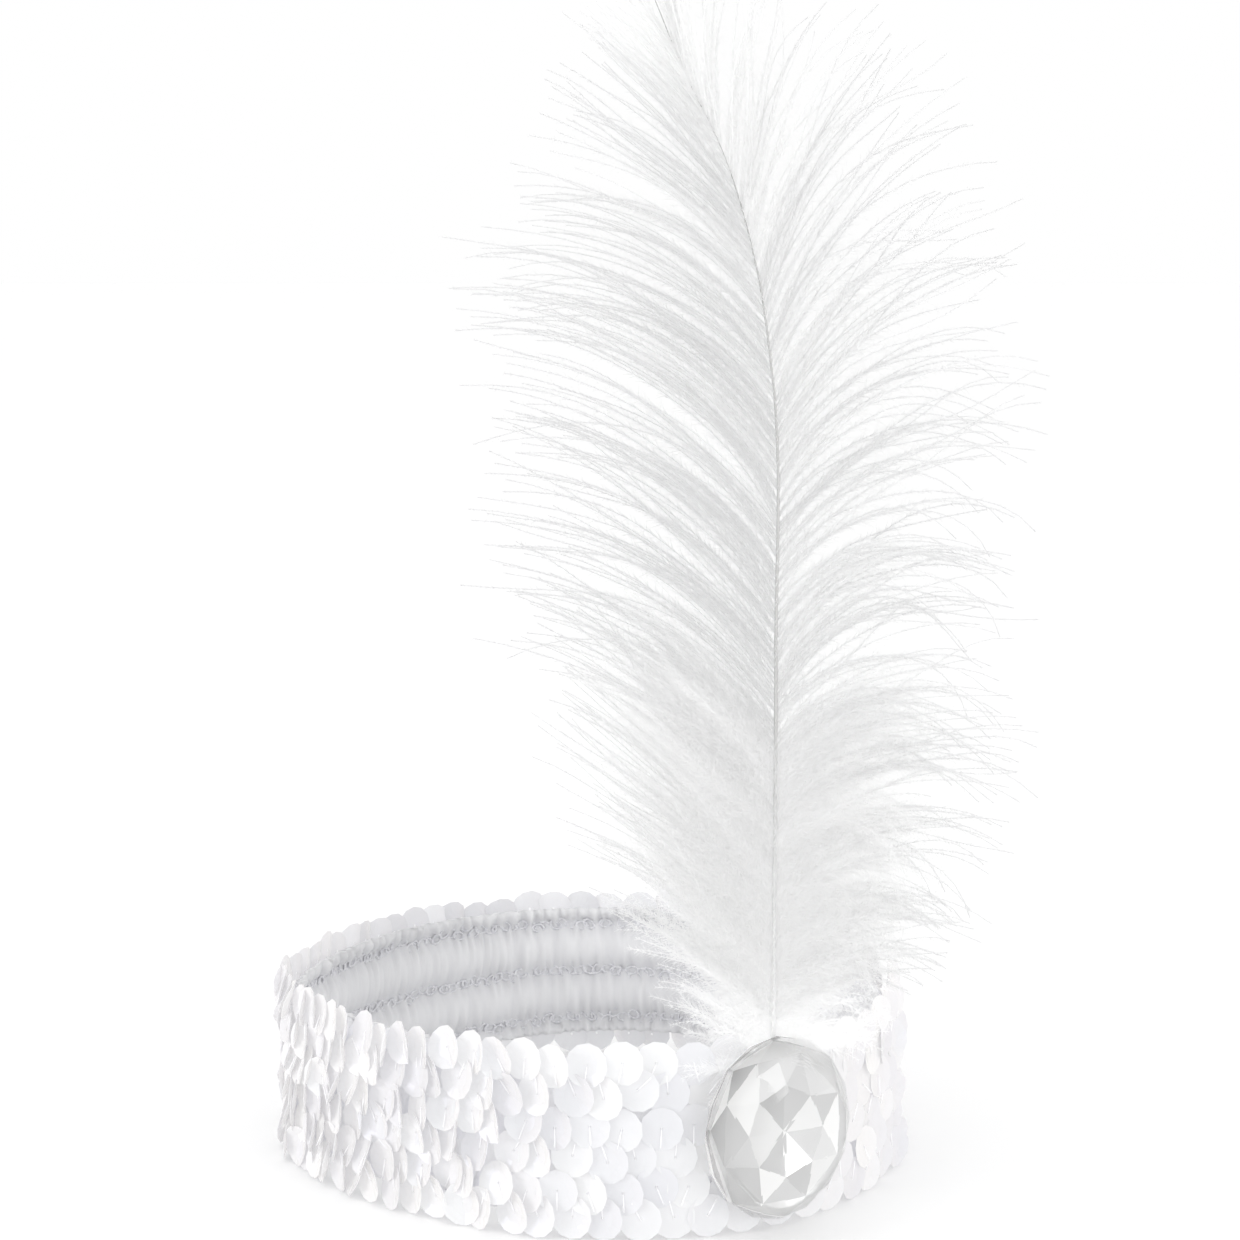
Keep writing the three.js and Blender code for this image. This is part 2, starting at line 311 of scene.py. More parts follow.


# how far the inside face lies from the loop's path, and the painted shade of the cloth there: darker in
# the sunk stitch lines, in gathers and in folds, lighter towards the top of each panel
def knitOffset(share, height):
    rng = np.random.default_rng(knit["seed"])
    low, middle, high = linesAt(share)
    hem, paintedShadeWeights = knit["hem"], knit["paintedShadeWeights"]
    panels = ((low - hem, low), (low, middle), (middle, high), (high, high + hem))
    offset = np.full_like(share, knit["sink"])
    paintedShade = np.zeros_like(share)
    for panel, (bottom, top) in enumerate(panels):
        below, above = (raggedEdge(share, rng) for edge in range(2))
        x = np.clip((height - bottom - below) / (top - bottom - below - above), 0, 1)
        swell = 1 - np.abs(2 * x - 1) ** knit["roundness"]
        gather = clippedStreaks(share + knit["gatherSlant"] * x, rng, knit["gathers"])
        fold = clippedStreaks(share, rng, knit["folds"])
        isHem = panel in (0, len(panels) - 1)
        depth = knit["gatherDepth"] * (knit["hemGather"] if isHem else 1)
        offset = offset - swell * (knit["puff"] + knit["sink"])
        offset = offset + swell * (knit["gatherEase"] - swell) * gather * depth
        offset = offset + swell * fold * knit["foldDepth"]
        # painted shade: lighter higher in each panel, darker on gathers and folds, darkest in the sunk
        # stitch lines between panels
        light = paintedShadeWeights["usual"] + paintedShadeWeights["upper"] * x
        paintedShade = paintedShade + swell * (light + paintedShadeWeights["gather"] * gather + paintedShadeWeights["fold"] * fold)
    return np.minimum(offset, knit["sink"]), paintedShade


# lift is a painted glow of white light on the cloth
def knitMaterial(name, stops, lift):
    settings = {"Roughness": 0.85, "Sheen_Weight": 0.2, "Emission_Strength": lift}
    material, tree, shader = newMaterial(name, Emission_Color=(1, 1, 1, 1), **settings)
    coords = addNode(tree, "ShaderNodeTexCoord")
    stretch = addNode(tree, "ShaderNodeMapping", Scale=(1.0, 0.06, 1.0))
    tree.links.new(coords.outputs["UV"], stretch.inputs["Vector"])
    threads = addNode(tree, "ShaderNodeTexNoise", Scale=knit["threadScale"], Detail=3.0)
    tree.links.new(stretch.outputs["Vector"], threads.inputs["Vector"])
    fuzz = objectNoise(tree, coords, scale=knit["threadScale"], detail=3.0)
    blend = mixValues(tree, threads.outputs["Fac"], fuzz, part=0.35)
    addBump(tree, shader, blend, strength=0.5, distance=0.0003)
    # the cloth's colour follows the painted shade, mixed with thread noise
    paintedShade = addNode(tree, "ShaderNodeAttribute", attribute_name="paintedShade")
    shade = mixValues(tree, paintedShade.outputs["Fac"], blend, part=0.3)
    colourRamp(tree, shade, shader.inputs["Base Color"], stops)
    return material


def knitBand():
    bm = bmesh.new()
    bmesh.ops.create_grid(bm, x_segments=knit["stations"], y_segments=knit["rows"], size=1)
    grid = np.array([v.co for v in bm.verts])
    share = (grid[:, 0] + 1) / 2
    bottom = knit["bottom"] + linesAt(share)[0] - knit["lines"][0]
    height = bottom + (grid[:, 1] + 1) / 2 * (knit["top"] - bottom)
    offset, paintedShade = knitOffset(share, height)
    spot, _, out = onLoop(share)
    placed = spot + out * offset[:, None] * mm
    placed[:, 2] = height * mm
    clothUv = bm.loops.layers.uv.new("clothUv")
    for face in bm.faces:
        for corner in face.loops:
            i = corner.vert.index
            corner[clothUv].uv = (share[i] * loopLength, height[i] * mm)
    # the painted shade is kept on each vertex
    paintedShadeLayer = bm.verts.layers.float.new("paintedShade")
    for vert, place, value in zip(bm.verts, placed, paintedShade):
        vert.co = place
        vert[paintedShadeLayer] = value
    bmesh.ops.remove_doubles(bm, verts=bm.verts, dist=1e-6)
    bmesh.ops.reverse_faces(bm, faces=bm.faces)
    mesh = meshFrom(bm, "knitBand")
    mesh.shade_smooth()
    # painted light and shade: the same white cloth as a darker shaded copy inside and a lighter lit copy
    # outside, the outside with a painted glow
    shaded = [(0.15, (0.71, 0.71, 0.73)), (0.45, (0.75, 0.75, 0.765)), (0.85, (0.84, 0.84, 0.85))]
    litOutsideStops = [(0.15, (0.84, 0.84, 0.88)), (0.85, (0.93, 0.93, 0.94))]
    knits = [knitMaterial("shadedInsideKnit", shaded, lift=0.0), knitMaterial("litOutsideKnit", litOutsideStops, lift=0.1)]
    piece = addPiece("knitBand", mesh, knits, ["elastic_band"])
    wall = piece.modifiers.new("wall", "SOLIDIFY")
    wall.thickness = knit["wall"] * mm
    wall.offset = -1
    wall.material_offset = 1
    return piece


knitBand()
print("knit band made")

# chain stitches along the three lines, inside the band
chain = {
    "links": 190,
    "long": 3.0,
    "wide": 2.0,
    "thread": 0.3,
    "sides": 4,
    "steps": 8,
    "offset": 0.75,
    "uneven": {"along": 0.12, "swing": 0.5, "depth": 0.1, "height": 0.45},
    "seed": 8,
}


# lift is a painted glow of white light on the thread
def threadMaterial(name, stops, lift):
    settings = {"Roughness": 0.7, "Emission_Color": (1, 1, 1, 1), "Emission_Strength": lift}
    material, tree, shader = newMaterial(name, **settings)
    coords = addNode(tree, "ShaderNodeTexCoord")
    twist = objectNoise(tree, coords, scale=1500.0, detail=2.0)
    colourRamp(tree, twist, shader.inputs["Base Color"], stops)
    return material


def chainLink():
    bm = bmesh.new()
    ring = bmesh.ops.create_circle(bm, segments=chain["sides"], radius=chain["thread"])["verts"]
    bmesh.ops.rotate(bm, verts=ring, cent=(0, 0, 0), matrix=Matrix.Rotation(math.pi / 2, 3, "X"))
    bmesh.ops.translate(bm, verts=ring, vec=(chain["wide"] / 2, 0, 0))
    wholeTurn = {"axis": (0, 0, 1), "cent": (0, 0, 0), "angle": 2 * math.pi, "use_merge": True}
    bmesh.ops.spin(bm, geom=ring + list(bm.edges), steps=chain["steps"], **wholeTurn)
    bmesh.ops.remove_doubles(bm, verts=bm.verts, dist=1e-4)
    bmesh.ops.scale(bm, verts=bm.verts, vec=(chain["long"] / chain["wide"], 1, 1))
    bmesh.ops.recalc_face_normals(bm, faces=bm.faces)
    bmesh.ops.scale(bm, verts=bm.verts, vec=(mm, mm, mm))
    fixOrder(bm)
    return bmeshArrays(bm)


def stitchLines():
    rng = np.random.default_rng(chain["seed"])
    links, uneven = chain["links"], chain["uneven"]
    turns, places = [], []
    for line in range(len(knit["lines"])):
        share = (np.arange(links) + rng.normal(0, uneven["along"], links)) / links
        spot, along, out = onLoop(share)
        swing = rng.normal(0, uneven["swing"], links)[:, None]
        side, rise = turned(along, up, swing)
        turns.append(np.stack([side, rise, -out], -1))
        depth = chain["offset"] + rng.normal(0, uneven["depth"], links)[:, None]
        place = spot + out * depth * mm
        place[:, 2] = (linesAt(share)[line] + rng.normal(0, uneven["height"], links)) * mm
        places.append(place)
    mesh = stampMesh("stitchLines", (*chainLink(), np.concatenate(turns), np.concatenate(places)))
    stops = [(0.3, (0.62, 0.62, 0.66)), (0.7, (0.84, 0.84, 0.86))]
    # the chain thread has a faint painted glow
    addPiece("stitchLines", mesh, [threadMaterial("chainThread", stops, lift=0.03)])


stitchLines()
print("stitch lines made")

# cup sequins, sewn by turns above and below each stitch line, closest together on the left
# tilt, its spread and the fold change with the distance from the stone, which presses them flat
sequin = {
    "across": 9.3,
    "hole": 0.3,
    "middle": 2.4,
    "cup": 0.45,
    "freeWing": 1.5,
    "tuckedWing": 0.6,
    "crease": 0.5,
    "film": 0.12,
    "sides": 12,
    "pairs": 64,
    "crowding": 0.25,
    "crowdedShare": 0.51,
    "zigzag": 3.2,
    "clear": 0.05,
    "bed": 2.9,
    "stack": 0.7,
    "away": (0, 19, 55, 95, 122),
    "tilt": (1, 1, 12, 10, 2),
    "tiltSpread": (9, 9, 9, 8, 6),
    "fold": (1, 1, 1.15, 1.1, 0.9),
    "roll": -7,
    "rollSpread": 6,
    "bend": (0.5, 1.35),
    "pressedBend": 0.2,
    "squeeze": 0.04,
    "pressedReach": 19,
    "loosenedReach": 55,
    "leastLoose": 0.1,
    "uneven": {"along": 0.6, "height": 0.5, "spin": 0.3},
    "seed": 11,
}


# a cupped film disc with a hole: its wings bend up, and its stitch draws a crease in one half of it
def sequinShape(stitchWay):
    half = sequin["across"] / 2
    bm = bmesh.new()
    bmesh.ops.create_circle(bm, segments=sequin["sides"], radius=sequin["hole"])
    rim = bm.edges[:]
    for radius in (sequin["middle"], half):
        outer = extrudeRim(bm, rim)
        for vert in outer:
            vert.co.xy = vert.co.xy.normalized() * radius
        rim = [edge for edge in bm.edges if set(edge.verts) <= set(outer)]
    for vert in bm.verts:
        across = abs(vert.co.x) / half
        drawn = min(max(stitchWay * vert.co.y / half, 0), 1)
        wing = sequin["freeWing"] if vert.co.x > 0 else sequin["tuckedWing"]
        bend = wing * (across**2 + (across - across**2) * drawn)
        rise = sequin["cup"] * (vert.co.xy.length / half) ** 2
        vert.co.z = rise + bend - sequin["crease"] * drawn * (1 - across) ** 2
    bmesh.ops.recalc_face_normals(bm, faces=bm.faces)
    bmesh.ops.solidify(bm, geom=bm.faces[:], thickness=sequin["film"])
    bmesh.ops.recalc_face_normals(bm, faces=bm.faces)
    bmesh.ops.scale(bm, verts=bm.verts, vec=(mm, mm, mm))
    fixOrder(bm)
    # back faces take the darker film of the backs, which is painted shade
    back = [int(face.normal.z < 0) for face in bm.faces]
    return *bmeshArrays(bm), back


# turns of the sequins, places of their holes, directions of their stitches, and the ways they face
def sequinPlaces(string, rng):
    count = 2 * sequin["pairs"]
    half, uneven = sequin["across"] / 2, sequin["uneven"]
    level = np.where(np.arange(count) % 2 == 1, 1, -1)
    share = (np.arange(count) / 2 + 0.5) / sequin["pairs"]
    fromCrowd = 2 * np.pi * (share - sequin["crowdedShare"])
    share = share - sequin["crowding"] * np.sin(fromCrowd) / (2 * np.pi)
    share = share + rng.normal(0, uneven["along"], count) * mm / loopLength
    height = knit["lines"][string] + level * sequin["zigzag"] + rng.normal(0, uneven["height"], count)
    height = np.maximum(height, half + sequin["clear"])
    away = awayFromStone(share)
    loosening = sequin["loosenedReach"] - sequin["pressedReach"]
    loose = np.clip((away - sequin["pressedReach"]) / loosening, sequin["leastLoose"], 1)[:, None]
    keys = ("tilt", "tiltSpread", "fold")
    lift, spread, fold = (np.interp(away, sequin["away"], sequin[key])[:, None] for key in keys)
    tilt = np.radians(lift + rng.normal(0, 1, (count, 1)) * spread * loose)
    roll = np.radians(rng.normal(sequin["roll"], sequin["rollSpread"], (count, 1))) * loose
    spin = rng.normal(0, uneven["spin"], (count, 1))
    spot, along, out = onLoop(share)
    side, face = turned(along, out, tilt)
    rise, face = turned(up, face, roll)
    side, rise = turned(side, rise, spin)
    pressed = sequin["pressedBend"]
    bent = rng.uniform(*sequin["bend"], (count, 1)) * (pressed + (1 - pressed) * loose) * fold
    dip = np.maximum(half * np.abs(np.sin(tilt)) - sequin["tuckedWing"] * bent, 0)
    places = spot + out * (sequin["bed"] + dip + sequin["stack"] * rng.random((count, 1))) * mm
    places[:, 2] = height * mm
    turns = np.stack([side * (1 - sequin["squeeze"] * bent), rise, face * bent], -1)
    return turns, places, -rise * level[:, None], face


# lift is a painted glow of white light on the film, which lightens the shade between the discs
def sequinMaterial(name, stops, lift):
    settings = {"Roughness": 0.24, "Coat_Weight": 0.5, "Coat_Roughness": 0.08}
    settings.update({"Thin_Film_Thickness": 320, "Thin_Film_IOR": 1.42})
    settings.update({"Emission_Color": (1, 1, 1, 1), "Emission_Strength": lift})
    material, tree, shader = newMaterial(name, **settings)
    tint = addNode(tree, "ShaderNodeAttribute", attribute_name="tint")
    colourRamp(tree, tint.outputs["Fac"], shader.inputs["Base Color"], stops)
    coords = addNode(tree, "ShaderNodeTexCoord")
    ripple = objectNoise(tree, coords, scale=350.0, detail=2.0)
    addBump(tree, shader, ripple, strength=0.12, distance=0.0002)
    letThrough(tree, shader, (0.97, 0.97, 0.97), share=0.3)
    return material


# the three rows, and the places, directions and facings that their stitches need
def sequinRows():
    rng = np.random.default_rng(sequin["seed"])
    shapes = [sequinShape(stitchWay) for stitchWay in (1, -1)]
    pearl = [(0.0, (0.69, 0.69, 0.71)), (0.4, (0.74, 0.74, 0.745)), (1.0, (0.79, 0.79, 0.78))]
    # painted shade: the backs of the discs get a darker grey than their fronts
    shadedBackStops = [(0.0, (0.60, 0.60, 0.61)), (1.0, (0.78, 0.78, 0.785))]
    # both sides of the film have a painted glow
    films = [sequinMaterial("pearlFilm", pearl, lift=0.2), sequinMaterial("shadedFilmBack", shadedBackStops, lift=0.2)]
    stitches = []
    for string, name in enumerate(("sequinsBottom", "sequinsMiddle", "sequinsTop")):
        turns, places, towards, facing = sequinPlaces(string, rng)
        stamps, backs = [], []
        for level, (points, faces, back) in enumerate(shapes):
            stamps.append((points, faces, turns[level::2], places[level::2]))
            backs.append(np.tile(back, sequin["pairs"]))
        mesh = stampMesh(name, *stamps)
        mesh.shade_flat()
        mesh.polygons.foreach_set("material_index", np.concatenate(backs))
        perSequin = len(mesh.vertices) // len(places)
        pointValues(mesh, "tint", np.repeat(rng.random(len(places)), perSequin))
        addPiece(name, mesh, films, [f"sequin_string_{string + 1}"])
        stitches.append((places, towards, facing))
    return [np.concatenate(rows) for rows in zip(*stitches)]


sequinStitches = sequinRows()
print("sequins made")

# one stitch on each sequin, from its hole towards the stitch line
stitch = {"thread": 0.1, "long": 4.2, "sides": 5, "run": 0.99, "lean": 0.12, "tuck": 0.3, "proud": 0.12}


def sewingThread():
    places, towards, facing = sequinStitches
    bm = bmesh.new()
    radius = stitch["thread"] * mm
    rod = {"radius1": radius, "radius2": radius, "depth": stitch["long"] * mm}
    bmesh.ops.create_cone(bm, cap_ends=True, segments=stitch["sides"], **rod)
    points, faces = bmeshArrays(bm)
    run = towards * stitch["run"] + facing * stitch["lean"]
    side = np.cross(run, facing)
    turns = np.stack([side, np.cross(run, side), run], -1)
    middle = places + run * (stitch["long"] / 2 - stitch["tuck"]) * mm + facing * stitch["proud"] * mm
    mesh = stampMesh("sewingThread", (points, faces, turns, middle))
    stops = [(0.3, (0.90, 0.90, 0.92)), (0.7, (0.96, 0.96, 0.97))]
    # the sewing thread has a painted glow, which lightens it where it lies in shade
    addPiece("sewingThread", mesh, [threadMaterial("sequinThread", stops, lift=0.2)])


sewingThread()
print("sewing thread made")

# oval cut stone with a silvered back
stone = {
    "wide": 34,
    "high": 38.5,
    "middle": 22.7,
    "offset": 6.9,
    "crown": {
        "share": (1, 1, 0.82, 0.52, 0.24),
        "rise": (0, 1.6, 5.2, 7.6, 8.8),
        "corners": (16, 16, 16, 8, 8),
        "turn": (0, 0, 0.5, 0.25, 0.75),
    },
    "foil": {
        "share": (0.46, 0.78, 0.97),
        "rise": (1.5, 0.7, 1.3),
        "corners": 8,
        "middle": 0.5,
        "foot": 0.1,
    },
    "seed": 5,
}


# stone coordinates in mm, across, up and out, to the frame
def stoneSeat():
    place = stoneSpot + stoneOut * stone["offset"] * mm
    place[2] = stone["middle"] * mm
    turn = Matrix(((stoneAlong[0], 0, stoneOut[0]), (stoneAlong[1], 0, stoneOut[1]), (0, 1, 0)))
    return Matrix.Translation(place) @ turn.to_4x4() @ Matrix.Scale(mm, 4)


def onOval(share, angle, rise):
    return stone["wide"] / 2 * share * math.cos(angle), stone["high"] / 2 * share * math.sin(angle), rise


def seatedMesh(bm, name):
    bmesh.ops.transform(bm, matrix=stoneSeat(), verts=bm.verts)
    bmesh.ops.recalc_face_normals(bm, faces=bm.faces)
    mesh = meshFrom(bm, name)
    mesh.shade_flat()
    return mesh


def cutStone():
    bm = bmesh.new()
    for share, rise, corners, first in zip(*stone["crown"].values()):
        for i in range(corners):
            bm.verts.new(onOval(share, (i + first) / corners * 2 * math.pi, rise))
    bmesh.ops.convex_hull(bm, input=bm.verts)
    mesh = seatedMesh(bm, "cutStone")
    settings = {"Base_Color": (0.98, 0.98, 0.98, 1), "IOR": 1.49, "Transmission_Weight": 1.0}
    material, tree, shader = newMaterial("clearAcrylic", **settings)
    coords = addNode(tree, "ShaderNodeTexCoord")
    wear = objectNoise(tree, coords, scale=400.0, detail=3.0)
    stops = [(0.45, (0.005, 0.005, 0.005)), (0.75, (0.06, 0.06, 0.06))]
    colourRamp(tree, wear, shader.inputs["Roughness"], stops)
    addPiece("cutStone", mesh, [material], ["oval_stone"])


# silvered facets behind the crown, each with a painted reflection of its own grey, picked at random, and a
# painted glow in the same grey
def silverBack():
    rng = np.random.default_rng(stone["seed"])
    foil = stone["foil"]
    bm = bmesh.new()
    bmesh.ops.create_circle(bm, segments=foil["corners"], radius=1, cap_ends=True, cap_tris=True)
    middle = min(bm.verts, key=lambda v: v.co.length)
    middle.co.z = foil["middle"]
    rim = [v for v in bm.verts if v is not middle]
    turn = 0
    for ring, (share, rise) in enumerate(zip(foil["share"], foil["rise"])):
        if ring:
            rim = extrudeRim(bm, openEdges(bm))
            turn = math.pi / foil["corners"]
        for vert in rim:
            vert.co = onOval(share, math.atan2(vert.co.y, vert.co.x) + turn, rise)
    for vert in extrudeRim(bm, openEdges(bm)):
        vert.co.z = foil["foot"]
    bmesh.ops.holes_fill(bm, edges=openEdges(bm))
    bmesh.ops.triangulate(bm, faces=bm.faces[:])
    fixOrder(bm)
    mesh = seatedMesh(bm, "silverBack")
    facetReflection = mesh.attributes.new("facetReflection", "FLOAT", "FACE")
    facetReflection.data.foreach_set("value", rng.random(len(mesh.polygons)).astype(np.float32))
    # painted reflection and glow: each facet's grey sets both its silver colour and its emission
    material, tree, shader = newMaterial("silverFoil", Metallic=1.0, Roughness=0.3, Emission_Strength=0.4)
    shade = addNode(tree, "ShaderNodeAttribute", attribute_name="facetReflection")
    stops = [(0.0, (0.45, 0.45, 0.45)), (0.4, (0.56, 0.56, 0.56)), (1.0, (0.72, 0.72, 0.715))]
    for target in ("Base Color", "Emission Color"):
        colourRamp(tree, shade.outputs["Fac"], shader.inputs[target], stops)
    addPiece("silverBack", mesh, [material])


cutStone()
silverBack()
print("stone made")

# ostrich plume: a shaft, two vanes of barbs with barbules, and down at the foot
plume = {
    "yaw": 10,
    "offset": 5.4,
    "quill": 0.6,
    "tip": 0.1,
    "steps": 60,
    "sides": 10,
    "paleTo": (45, 110),
    "seed": 21,
}
shaftTable = {
    "height": (9, 60, 120, 176, 201, 223, 234, 252),
    "side": (0, 0, 0.3, -0.2, -3.9, -10.6, -16, -23.5),
    "back": (0, 0.2, 1.5, 4, 6, 8.5, 10, 11.5),
}
# lengths of the barbs, and their angles from the shaft in degrees, by the height of the root
barbTable = {
    "root": (34, 44, 51, 63, 80, 105, 140, 175, 198, 212, 225, 233, 246),
    "left": {
        "length": (22, 40, 48, 56, 61, 66, 70, 61, 52, 43, 33, 26, 15),
        "start": (76, 46, 44, 42, 40, 36, 30, 28, 26, 20, 14, 9, 6),
        "tip": (88, 58, 56, 57, 60, 74, 87, 92, 73, 30, 18, 12, 8),
    },
    "right": {
        "length": (32, 34, 40, 46, 51, 55, 60, 57, 54, 50, 42, 34, 19),
        "start": (70, 44, 42, 39, 36, 33, 30, 28, 23, 20, 17, 13, 9),
        "tip": (96, 118, 122, 126, 122, 116, 107, 86, 60, 44, 32, 24, 16),
    },
}
# pairs of spreads are for a lock of barbs and for a barb within it
barb = {
    "steps": 14,
    "sides": 3,
    "taper": 0.6,
    "lock": (2, 6),
    "length": (0.07, 0.08),
    "start": (2, 3),
    "bow": (2.5, 1.2),
    "bowPower": 1.6,
    "tone": (0.18, 0.1),
    "unevenRoots": (60, 95),
    "leastUneven": 0.2,
    "ownSpread": 0.6,
    "unruly": {"left": 1.0, "right": 1.5},
    "strayShare": {"left": 0.15, "right": 0.35},
    "stray": 20,
    "mostStray": 30,
    "wavy": {"left": 10, "right": 19},
    "mostWavy": 1.5,
    "drawnAlong": (0, 0.3, 0.7, 1),
    "drawn": (0, 0.15, 0.95, 1),
    "leastDrawn": 0.5,
}
barbule = {
    "roots": (44, 75, 110, 200, 233),
    "crowding": 0.62,
    "fadeAlong": (0, 0.1, 0.45, 0.7, 1),
    "fade": (0.7, 1, 1, 0.5, 0.2),
    "looseOpen": (22, 62),
    "openSpread": 1 / 3,
    "roll": 0.6,
    "long": (0.6, 1.1),
    "sideways": (0.3, 1.0, 0.2),
    "foot": ((1, 0), (-0.5, 0.87), (-0.5, -0.87)),
    "faces": ((0, 1, 3), (1, 2, 3), (2, 0, 3), (0, 2, 1)),
}
vane = {
    "barbs": 140,
    "first": 44,
    "rise": 198,
    "crowding": 1.1,
    "length": 1.0,
    "spread": 7,
    "bow": 0.4,
    "draw": 0.2,
    # painted shade and light: the barbs' tone by root height and side, darker near the shaft (barbShade)
    # and towards the tips (tipShade)
    "toneRoots": (60, 95, 190, 230),
    "tone": {"left": (0.7, 0.14, 0.4, 0.85), "right": (0.6, 0.5, 0.66, 0.97)},
    "barbShade": (0.05, 0.25, 0.5, 0.45, 0.1),
    "tipShade": (0.8, 0.8, 0.8, 0.6, 0.25),
    "thick": 0.16,
    "barbuleGap": 0.55,
    "barbuleThick": 0.065,
    "barbuleLong": (5.5, 4.8, 4.2, 3.6, 2.4),
    "barbuleOpen": (38, 26, 15, 13, 10),
    "looseShare": 0.4,
}
down = {
    "barbs": 190,
    "first": 34,
    "rise": 66,
    "crowding": 1.1,
    "length": 0.72,
    "spread": 16,
    "bow": 1.5,
    "draw": 0.0,
    # painted light: the down is lighter at the foot
    "toneRoots": (36, 44, 54),
    "tone": {"left": (1.0, 0.7, 0.3), "right": (1.0, 0.8, 0.3)},
    "barbShade": (0, 0, 0, 0, 0),
    "tipShade": (0, 0, 0, 0, 0),
    "thick": 0.06,
    "barbuleGap": 0.42,
    "barbuleThick": 0.03,
    "barbuleLong": (7, 7, 7, 7, 7),
    "barbuleOpen": (50, 50, 50, 50, 50),
    "looseShare": 0.5,
}
layers = {"VaneFront": vane, "VaneBack": {**vane, "bow": 3.0, "length": 0.94}, "Down": down}


# plume coordinates in mm, side, back and up, to the frame
def inFrame(points):
    yaw = math.radians(plume["yaw"])
    turn = np.array([[math.cos(yaw), -math.sin(yaw), 0], [math.sin(yaw), math.cos(yaw), 0], [0, 0, 1]])
    return points @ turn.T * mm + stoneSpot + stoneOut * plume["offset"] * mm


# smooth curve through the rows of a table
def throughRows(x, xs, ys):
    xs, ys = np.array(xs, float), np.array(ys, float)
    slope = np.gradient(ys, xs)
    i = np.clip(np.searchsorted(xs, x) - 1, 0, len(xs) - 2)
    span = xs[i + 1] - xs[i]
    t = (x - xs[i]) / span
    rise = t**2 * (3 - 2 * t)
    bend = t * (1 - t) * span * (slope[i] * (1 - t) - slope[i + 1] * t)
    return ys[i] * (1 - rise) + ys[i + 1] * rise + bend


def shaftPoint(height):
    side, back = (throughRows(height, shaftTable["height"], shaftTable[key]) for key in ("side", "back"))
    return np.stack([side, back, height], -1)


def hornMaterial():
    material, tree, shader = newMaterial("quillHorn", Roughness=0.45)
    coords = addNode(tree, "ShaderNodeTexCoord")
    grain = objectNoise(tree, coords, scale=300.0, detail=2.0)
    spot = addNode(tree, "ShaderNodeSeparateXYZ")
    tree.links.new(coords.outputs["Object"], spot.inputs["Vector"])
    low, high = (height * mm for height in plume["paleTo"])
    rise = addNode(tree, "ShaderNodeMapRange", From_Min=low, From_Max=high)
    tree.links.new(spot.outputs["Z"], rise.inputs["Value"])
    shade = mixValues(tree, rise.outputs["Result"], grain, part=0.3)
    stops = [(0.12, (0.86, 0.86, 0.86)), (0.53, (0.69, 0.69, 0.69)), (0.85, (0.54, 0.54, 0.535))]
    colourRamp(tree, shade, shader.inputs["Base Color"], stops)
    return material


def plumeShaft():
    heights = np.linspace(shaftTable["height"][0], shaftTable["height"][-1], plume["steps"])
    radii = np.interp(heights, heights[[0, -1]], (plume["quill"], plume["tip"])) * mm
    spots = [Vector(spot) for spot in inFrame(shaftPoint(heights))]
    bm = bmesh.new()
    foot = {"segments": plume["sides"], "radius": radii[0], "cap_ends": True}
    ring = bmesh.ops.create_circle(bm, **foot)["verts"]
    bmesh.ops.translate(bm, verts=ring, vec=spots[0])
    for here, there, thin in zip(spots, spots[1:], radii[1:] / radii[:-1]):
        for vert in extrudeRim(bm, openEdges(bm)):
            vert.co = there + (vert.co - here) * thin
    bmesh.ops.holes_fill(bm, edges=openEdges(bm))
    bmesh.ops.recalc_face_normals(bm, faces=bm.faces)
    fixOrder(bm)
    mesh = meshFrom(bm, "plumeShaft")
    mesh.shade_smooth()
    addPiece("plumeShaft", mesh, [hornMaterial()], ["plume"])


# tapered tubes along many lines at once: lines by step and axis, radii by step
def tubeArrays(lines, radii, sides):
    along = np.gradient(lines, axis=1)
    along /= np.linalg.norm(along, axis=2, keepdims=True)
    side = np.cross(along, [0.0, 1.0, 0.0])
    side /= np.linalg.norm(side, axis=2, keepdims=True)
    depth = np.cross(side, along)
    angle = (np.arange(sides) / sides * 2 * np.pi)[:, None]
    ring = side[:, :, None] * np.cos(angle) + depth[:, :, None] * np.sin(angle)
    points = lines[:, :, None] + ring * radii[..., None, None]
    index = np.arange(points[..., 0].size).reshape(points.shape[:3])
    after = np.roll(index, -1, axis=2)
    quads = np.stack([index[:, :-1], index[:, 1:], after[:, 1:], after[:, :-1]], -1).reshape(-1, 4)
    caps = np.concatenate([index[:, 0], index[:, -1, ::-1]])
    return points.reshape(-1, 3), quads.tolist() + caps.tolist()


# barbs are drawn together into locks of a few
def lockNumbers(count, rng):
    sizes = rng.integers(*barb["lock"], count)
    return np.searchsorted(np.cumsum(sizes), np.arange(count), side="right")


def clippedNormal(rng, spread, most, count):
    return np.clip(rng.normal(0, spread, count), -most, most)


